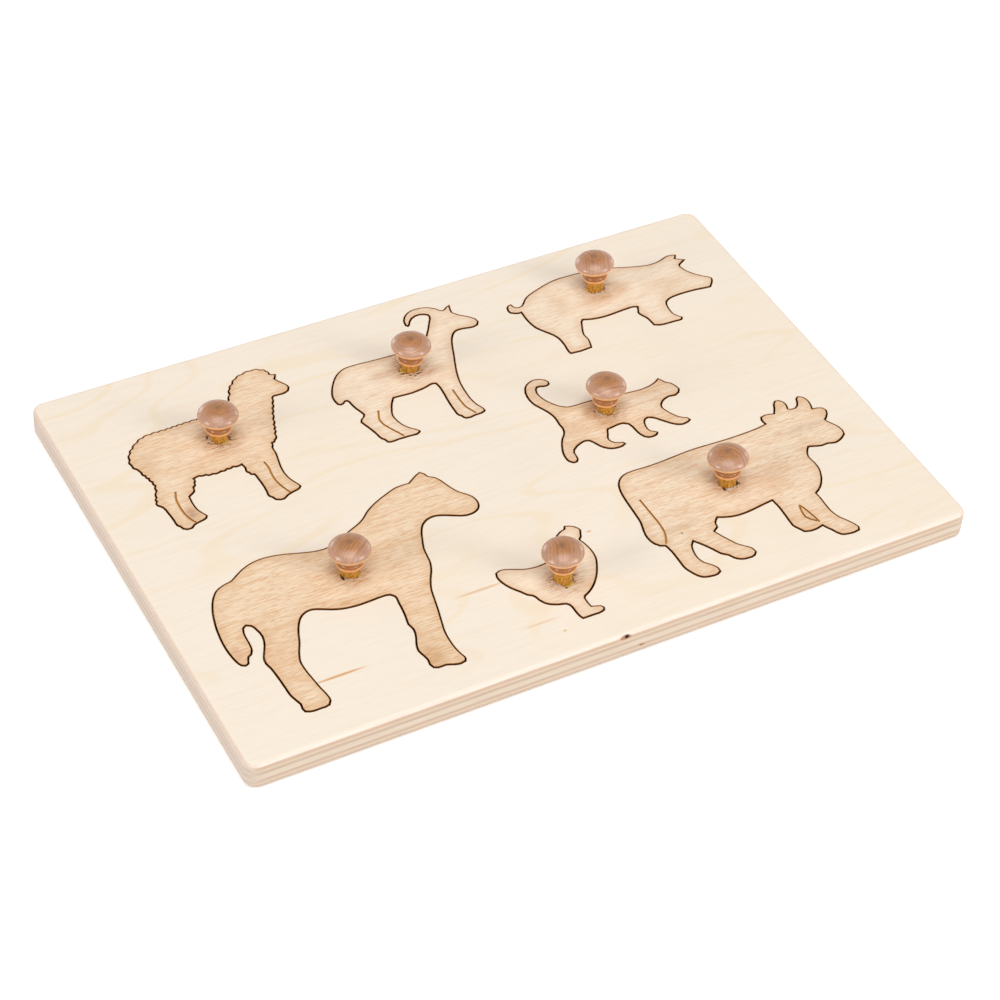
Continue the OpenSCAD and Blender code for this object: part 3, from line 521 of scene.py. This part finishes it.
def handled_birch_plywood(animal, foot):
    """Birch plywood cut by laser and handled: tan with fine short fibres, charred walls, brown
    engraved lines, and grime worked into the grain round its knob."""
    material, tree, shader = new_material("handled_birch_plywood_" + animal)
    place, axes, facing = place_in_mm(tree)
    shift = 10.0 * ANIMALS.index(animal)

    face = add(tree, "Mix", {0: WARMTH[animal], 6: "#FCEBD4", 7: "#F6DCBC"}, data_type="RGBA")[2]
    grain = GRAIN[animal]
    face = with_fibres(tree, face, place, "#EBC8A2", 24, 6, 0.45, 0.7, strength=0.4 * grain,
                       shift=shift)
    for middle, reach, shade, strength in STAINS[animal]:
        face = with_mark(tree, face, place, middle, reach, shade, strength, softness=0.9)
    face = with_fibres(tree, face, place, "#EAC29A", 22, 1.4, 0.46, 0.7, strength=0.3 * grain,
                       shift=shift + 1)
    fine = fibres(tree, place, 8, 0.4, 0.5, 0.63, strength=0.5 * grain, shift=shift + 2)
    face = add(tree, "Mix", {0: fine, 6: face, 7: "#E0AA74"}, data_type="RGBA")[2]
    face = with_fibres(tree, face, place, "#D89E68", 3.5, 0.3, 0.52, 0.65,
                       strength=0.55 * grain, shift=shift + 4)
    face = with_fibres(tree, face, place, "#FDE9D2", 6, 0.4, 0.53, 0.66, strength=0.45,
                       shift=shift + 6)
    smoked = add(tree, "Math", {0: near_cut(tree, SMOKED_STRIP), 1: 0.35},
                 operation="MULTIPLY")[0]
    face = add(tree, "Mix", {0: smoked, 6: face, 7: "#D9A26E"}, data_type="RGBA")[2]

    distance = add(tree, "VectorMath", {0: place, 1: foot}, operation="DISTANCE")["Value"]
    near = add(tree, "MapRange", {"Value": distance, "From Min": GRIME_FADE[0],
                                  "From Max": GRIME_FADE[1], "To Min": GRUBBINESS[animal],
                                  "To Max": 0.0}, interpolation_type="SMOOTHSTEP")[0]
    worked = fibres(tree, place, 3, 0.5, 0.42, 0.62, strength=0.8, shift=shift + 3)
    grime = add(tree, "Math", {0: near, 1: worked}, operation="MULTIPLY")[0]
    face = add(tree, "Mix", {0: grime, 6: face, 7: "#BC8646"}, data_type="RGBA")[2]

    # Dark specks of dirt and char, each in a cell of its own and larger near the foot
    along = add(tree, "Mapping", {"Vector": place, "Scale": (
        1 / SPECK_LENGTH, 1 / SPECK_WIDTH, 1 / SPECK_WIDTH)})[0]
    cells = add(tree, "TexVoronoi", {"Vector": along, "Scale": 1.0})
    chance = add(tree, "SeparateColor", {0: cells["Color"]})[0]
    close = add(tree, "MapRange", {"Value": distance, "From Min": SPECK_FADE[0],
                                   "From Max": SPECK_FADE[1], "To Min": GRUBBINESS[animal],
                                   "To Max": 0.0})[0]
    reach = add(tree, "Math", {0: chance, 1: close}, operation="MULTIPLY")[0]
    speck = add(tree, "MapRange", {"Value": reach, "From Min": 0.28, "From Max": 0.75,
                                   "To Max": 0.5})[0]
    speck = add(tree, "Math", {0: cells["Distance"], 1: speck}, operation="LESS_THAN")[0]
    speck = add(tree, "Math", {0: speck, 1: 0.8}, operation="MULTIPLY")[0]
    face = add(tree, "Mix", {0: speck, 6: face, 7: "#4A2E18"}, data_type="RGBA")[2]

    # Engraved lines lie below the face, and what stands steep was burnt by the laser
    sunk = add(tree, "Math", {0: axes["Z"], 1: ANIMAL_FACE - ENGRAVED_DEPTH / 2},
               operation="LESS_THAN")[0]
    scorched = near_cut(tree, SCORCHED_STRIP)
    face = add(tree, "Mix", {0: scorched, 6: face, 7: "#C88A46"}, data_type="RGBA")[2]
    # Char and dark glue at some knobs' feet, with painted shade in the glue's gaps and a painted
    # shadow beside the cow's knob
    for middle, reach, shade, strength in FOOT_MARKS_AND_SHADE.get(animal, ()):
        face = with_mark(tree, face, place, middle, reach, shade, strength)
    face = add(tree, "Mix", {0: sunk, 6: face, 7: "#D8983E"}, data_type="RGBA")[2]
    depth = upright_share(tree, axes, ANIMAL_FACE - 2 * ENGRAVED_DEPTH,
                          ANIMAL_FACE - ENGRAVED_DEPTH / 2)
    wall = add(tree, "Mix", {0: depth, 6: char(tree, place), 7: "#84501A"}, data_type="RGBA")[2]
    level = add(tree, "Math", {0: facing["Z"], 1: STEEP}, operation="GREATER_THAN")[0]
    wood = add(tree, "Mix", {0: level, 6: wall, 7: face}, data_type="RGBA")[2]
    # The bore's wall is painted near black: char darkened by painted shade of the narrow gap round
    # the tenon
    bore_shade = add(tree, "Math", {0: distance, 1: BORE_REACH}, operation="LESS_THAN")[0]
    steep = add(tree, "Math", {0: 1.0, 1: level}, operation="SUBTRACT")[0]
    bore_shade = add(tree, "Math", {0: bore_shade, 1: steep}, operation="MULTIPLY")[0]
    wood = add(tree, "Mix", {0: bore_shade, 6: wood, 7: "#140A05"}, data_type="RGBA")[2]
    tree.links.new(wood, shader.inputs["Base Color"])

    rough = add(tree, "MapRange", {"Value": fine, "To Min": 0.55, "To Max": 0.75})[0]
    rough = add(tree, "Mix", {0: level, 2: CHAR_ROUGHNESS, 3: rough}, data_type="FLOAT")[0]
    tree.links.new(rough, shader.inputs["Roughness"])
    shader.inputs["Specular IOR Level"].default_value = MATT_SHINE
    bump = add(tree, "Bump", {"Height": fine, "Strength": 0.25, "Distance": 0.1 * MM})[0]
    tree.links.new(bump, shader.inputs["Normal"])
    return material


def varnished_hardwood(animal, heart, stand):
    """Turned hardwood, stained red-brown under a gloss varnish: close growth rings round the
    heart of the tree, short dark pores, painted shade in the cove, painted light on the rims."""
    material, tree, shader = new_material("varnished_hardwood_" + animal)
    place, axes, facing = place_in_mm(tree)
    shift = 10.0 * ANIMALS.index(animal)

    offset = add(tree, "VectorMath", {0: place, 1: (0, heart, 0)}, operation="SUBTRACT")[0]
    offset = add(tree, "VectorMath", {0: offset, 1: (1, 1, 0.2)}, operation="MULTIPLY")[0]
    radius = add(tree, "VectorMath", {0: offset}, operation="LENGTH")["Value"]
    wobble = add(tree, "TexNoise", {"Vector": place, "Scale": 0.15, "Detail": 1.0})[0]
    wobble = add(tree, "Math", {0: wobble, 1: 2.0}, operation="MULTIPLY")[0]
    radius = add(tree, "Math", {0: radius, 1: wobble}, operation="ADD")[0]
    ring = add(tree, "TexNoise", {"W": radius, "Scale": 1.1, "Detail": 3.0, "Roughness": 0.75},
               noise_dimensions="1D")[0]
    ring = add(tree, "MapRange", {"Value": ring, "From Min": 0.25, "From Max": 0.75})[0]
    wood = add(tree, "Mix", {0: ring, 6: "#CC8C4E", 7: "#9A5E2C"}, data_type="RGBA")[2]
    wood = with_fibres(tree, wood, place, "#7A4624", 1.8, 0.3, 0.5, 0.68, strength=0.45,
                       shift=shift)
    wood = with_fibres(tree, wood, place, "#925C34", 4, 4, 0.4, 0.7, strength=0.3,
                       shift=shift + 5)
    top = stand + FLANGE_THICKNESS + COVE_HEIGHT + UNDERSIDE_DEPTH + DOME_HEIGHT
    wood = with_mark(tree, wood, place, (0.3, 0.2, top), (1.5, 1.2, 9), "#5E3A1C", 0.5,
                     softness=0.9)

    # A milky sheen is painted towards the rim of the cap: a painted reflection on the varnish
    outward = add(tree, "VectorMath", {0: place, 1: (1, 1, 0)}, operation="MULTIPLY")[0]
    outward = add(tree, "VectorMath", {0: outward}, operation="LENGTH")["Value"]
    painted_sheen = add(tree, "MapRange", {"Value": outward, "From Min": SHEEN_START,
                                     "From Max": CAP_RADIUS, "To Max": SHEEN_STRENGTH})[0]
    wood = add(tree, "Mix", {0: painted_sheen, 6: wood, 7: "#DCC6C2"}, data_type="RGBA")[2]

    # Painted shade darkens the cove, and painted orange light, as bounced from the board, lights
    # the cap's rim and the flange
    cove = stand + FLANGE_THICKNESS + COVE_HEIGHT / 2
    rim = stand + FLANGE_THICKNESS + COVE_HEIGHT + 0.6 * UNDERSIDE_DEPTH
    for height, reach, shade in ((cove, 0.65 * COVE_HEIGHT, "#AC6820"), (rim, 1.3, "#FBC184"),
                                 (stand + FLANGE_THICKNESS / 2, 0.65, "#F6B270")):
        away = add(tree, "Math", {0: axes["Z"], 1: height}, operation="SUBTRACT")[0]
        away = add(tree, "Math", {0: away}, operation="ABSOLUTE")[0]
        painted_share = add(tree, "MapRange", {"Value": away, "From Min": 0.5 * reach, "From Max": reach,
                                      "To Min": 0.9, "To Max": 0.0},
                   interpolation_type="SMOOTHSTEP")[0]
        wood = add(tree, "Mix", {0: painted_share, 6: wood, 7: shade}, data_type="RGBA")[2]
    tree.links.new(wood, shader.inputs["Base Color"])

    # The varnish alone shines: wood and varnish bend light alike, so nothing shines under it
    shader.inputs["Roughness"].default_value = 0.5
    shader.inputs["Specular IOR Level"].default_value = 0.0
    shader.inputs["Coat Weight"].default_value = 0.88
    shader.inputs["Coat Roughness"].default_value = 0.25
    shader.inputs["Coat IOR"].default_value = 1.7
    return material


def glued_tenon():
    """Bare turned wood smeared with yellow wood glue: ochre and matt."""
    material, tree, shader = new_material("glued_tenon")
    place, axes, facing = place_in_mm(tree)
    upright = add(tree, "Mapping", {"Vector": place, "Rotation": (0, math.radians(90), 0)})[0]
    smear = fibres(tree, upright, 1.5, 0.7, 0.35, 0.65)
    wood = add(tree, "Mix", {0: smear, 6: "#D9A048", 7: "#AE7627"}, data_type="RGBA")[2]
    tree.links.new(wood, shader.inputs["Base Color"])
    shader.inputs["Roughness"].default_value = 0.6
    shader.inputs["Specular IOR Level"].default_value = 0.2
    return material


def dried_glue(kind, pale, dark):
    """Dried squeezed-out wood glue, uneven in colour and half glossy."""
    material, tree, shader = new_material("dried_glue_" + kind)
    place, axes, facing = place_in_mm(tree)
    stain = fibres(tree, place, 0.9, 0.9, 0.35, 0.65)
    glue = add(tree, "Mix", {0: stain, 6: pale, 7: dark}, data_type="RGBA")[2]
    tree.links.new(glue, shader.inputs["Base Color"])
    shader.inputs["Roughness"].default_value = 0.45
    return material


def quarter(radius, height, across, up, start, end, steps=12):
    """Points of a quarter ellipse, as pairs of radius and height in millimetres."""
    angles = [math.radians(start + (end - start) * k / steps) for k in range(steps + 1)]
    return [(radius + across * math.cos(a), height + up * math.sin(a)) for a in angles]


def knob_section(stand):
    """Half section of a knob in millimetres above its animal's face: the tenon, then the head."""
    edge = FLANGE_THICKNESS / 2
    mouth = FLANGE_RADIUS - edge
    cove = stand + FLANGE_THICKNESS
    cap = cove + COVE_HEIGHT
    rim = cap + UNDERSIDE_DEPTH
    hollow = mouth - WAIST_RADIUS
    tenon = [(0, TENON_END), (TENON_RADIUS, TENON_END), (TENON_RADIUS, stand)]
    head = quarter(mouth, stand + edge, edge, edge, -90, 0)
    head += quarter(mouth, stand + edge, edge, edge, 0, 90)[1:]
    head += quarter(mouth, cove + COVE_ROUNDING, hollow, COVE_ROUNDING, 270, 180)[1:]
    head += quarter(mouth, cap - COVE_ROUNDING, hollow, COVE_ROUNDING, 180, 90)
    head += quarter(mouth, rim, CAP_RADIUS - mouth, UNDERSIDE_DEPTH, -90, 0)[1:]
    head += quarter(0, rim, CAP_RADIUS, DOME_HEIGHT, 0, 90, steps=24)[1:]
    return tenon, head


def lathe(section):
    """A closed solid turned round Z from a half section that starts and ends on the axis. Its
    faces carry the number of their step along the section, and all but its flat end are smooth."""
    mesh = bmesh.new()
    rings = []
    angles = [2 * math.pi * k / KNOB_FACETS for k in range(KNOB_FACETS)]
    for radius, height in section:
        if radius < ON_AXIS:
            rings.append([mesh.verts.new((0, 0, height * MM))])
            continue
        rings.append([mesh.verts.new((radius * MM * math.cos(a), radius * MM * math.sin(a),
                                      height * MM)) for a in angles])
    for i, (below, above) in enumerate(zip(rings, rings[1:])):
        for k in range(KNOB_FACETS):
            j = (k + 1) % KNOB_FACETS
            if len(below) == 1:
                corners = (below[0], above[j], above[k])
            elif len(above) == 1:
                corners = (below[k], below[j], above[0])
            else:
                corners = (below[k], below[j], above[j], above[k])
            face = mesh.faces.new(corners)
            face.smooth = i > 0
            face.material_index = i
    bmesh.ops.recalc_face_normals(mesh, faces=mesh.faces)
    return mesh


def add_piece(name, mesh, materials, body):
    """Turns a finished mesh into a piece that rides on a body."""
    data = bpy.data.meshes.new(name)
    mesh.to_mesh(data)
    mesh.free()
    data.set_sharp_from_angle(angle=SHARP_ANGLE)
    for material in materials:
        data.materials.append(material)
    piece = bpy.data.objects.new(name, data)
    bpy.context.scene.collection.objects.link(piece)
    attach(piece, body)
    return piece


def turned_knob(animal, glue):
    """One knob, turned from its section and set askew in its hole."""
    low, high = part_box(animal + "_knob")
    lean, turn, heart = KNOBS[animal]
    stand = (high.z / MM - ANIMAL_FACE - DOME_HEIGHT - UNDERSIDE_DEPTH - COVE_HEIGHT
             - FLANGE_THICKNESS)
    tenon, head = knob_section(stand)
    mesh = lathe(tenon + head)
    for face in mesh.faces:
        face.material_index = 1 if face.material_index < len(tenon) - 1 else 0
    finishes = (varnished_hardwood(animal, heart, stand), glue)
    knob = add_piece(animal + "_turned_knob", mesh, finishes, animal + "_piece")
    pivot = Vector(((low.x + high.x) / 2, (low.y + high.y) / 2, LEAN_PIVOT * MM))
    tilt = Matrix.Rotation(math.radians(lean), 4, Vector((0, 0, 1)).cross(LEAN_TOWARDS))
    spin = Matrix.Rotation(math.radians(turn), 4, "Z")
    drop = Matrix.Translation((0, 0, (ANIMAL_FACE - LEAN_PIVOT) * MM))
    knob.matrix_world = Matrix.Translation(pivot) @ tilt @ drop @ spin
    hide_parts(animal + "_knob")


def glue_bead(animal, glues):
    """The uneven bead of glue that was squeezed out round a tenon, with bare gaps in it."""
    low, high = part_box(animal + "_knob")
    mesh = bmesh.new()
    rings = []
    kinds = []
    lumps = [random.uniform(0.7, 1.2) for k in range(BEAD_FACETS // LUMP_FACETS + 1)]
    for k in range(BEAD_FACETS):
        angle = 360 * k / BEAD_FACETS
        here, past = divmod(k, LUMP_FACETS)
        lump = lumps[here] + (lumps[here + 1] - lumps[here]) * past / LUMP_FACETS
        width, height, kind = FILM_WIDTH, FILM_HEIGHT * lump, GLUE_KINDS.index("gap")
        for start, end, arc_width, arc_height, name in GLUE[animal]:
            along = ((angle - start) % 360) / (end - start)
            if along < 1:
                swell = math.sin(math.pi * along) ** 0.5 * lump
                width = BEAD_OVERLAP + arc_width * swell
                height = arc_height * swell - BEAD_SINK
                kind = GLUE_KINDS.index(name)
                if name == "gap":
                    width, height = 0.0, GAP_HEIGHT
        inner = TENON_RADIUS - BEAD_OVERLAP
        outer = TENON_RADIUS + width
        ring = [(inner, BEAD_ROOT), (inner, height), (TENON_RADIUS + 0.3 * width, height),
                (TENON_RADIUS + 0.75 * width, 0.6 * height), (outer, min(height, 0.0) - FEATHER),
                (min(outer, TENON_RADIUS + BORE_GAP), BEAD_ROOT)]
        turn = math.radians(angle)
        rings.append([mesh.verts.new((r * MM * math.cos(turn), r * MM * math.sin(turn), z * MM))
                      for r, z in ring])
        kinds.append(kind)
    for k, here in enumerate(rings):
        there = rings[(k + 1) % BEAD_FACETS]
        for i in range(len(here)):
            j = (i + 1) % len(here)
            face = mesh.faces.new((here[i], here[j], there[j], there[i]))
            face.smooth = True
            face.material_index = kinds[k]
    bmesh.ops.recalc_face_normals(mesh, faces=mesh.faces)
    bead = add_piece(animal + "_glue_bead", mesh, glues, animal + "_piece")
    bead.location = ((low.x + high.x) / 2, (low.y + high.y) / 2, ANIMAL_FACE * MM)


def finish_node(name, material):
    """Gives a node of the frame its finish."""
    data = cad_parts[name].data
    data.materials.clear()
    data.materials.append(material)


set_up_camera()
set_up_studio()

board = lacquered_birch_plywood()
finish_node("backing_sheet", board)
finish_node("cutout_sheet", board)
tenon_glue = glued_tenon()
glues = (dried_glue("yellow", "#D8B44A", "#B98F2E"), dried_glue("grey", "#D9CEC2", "#B3A28F"),
         dried_glue("grimy", "#8C6E4C", "#5E452F"))
for animal in ANIMALS:
    low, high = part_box(animal + "_knob")
    hole = ((low.x + high.x) / 2 / MM, (low.y + high.y) / 2 / MM, ANIMAL_FACE)
    finish_node(animal, handled_birch_plywood(animal, hole))
    turned_knob(animal, tenon_glue)
    glue_bead(animal, glues)

bpy.context.scene.view_settings.view_transform = "Standard"
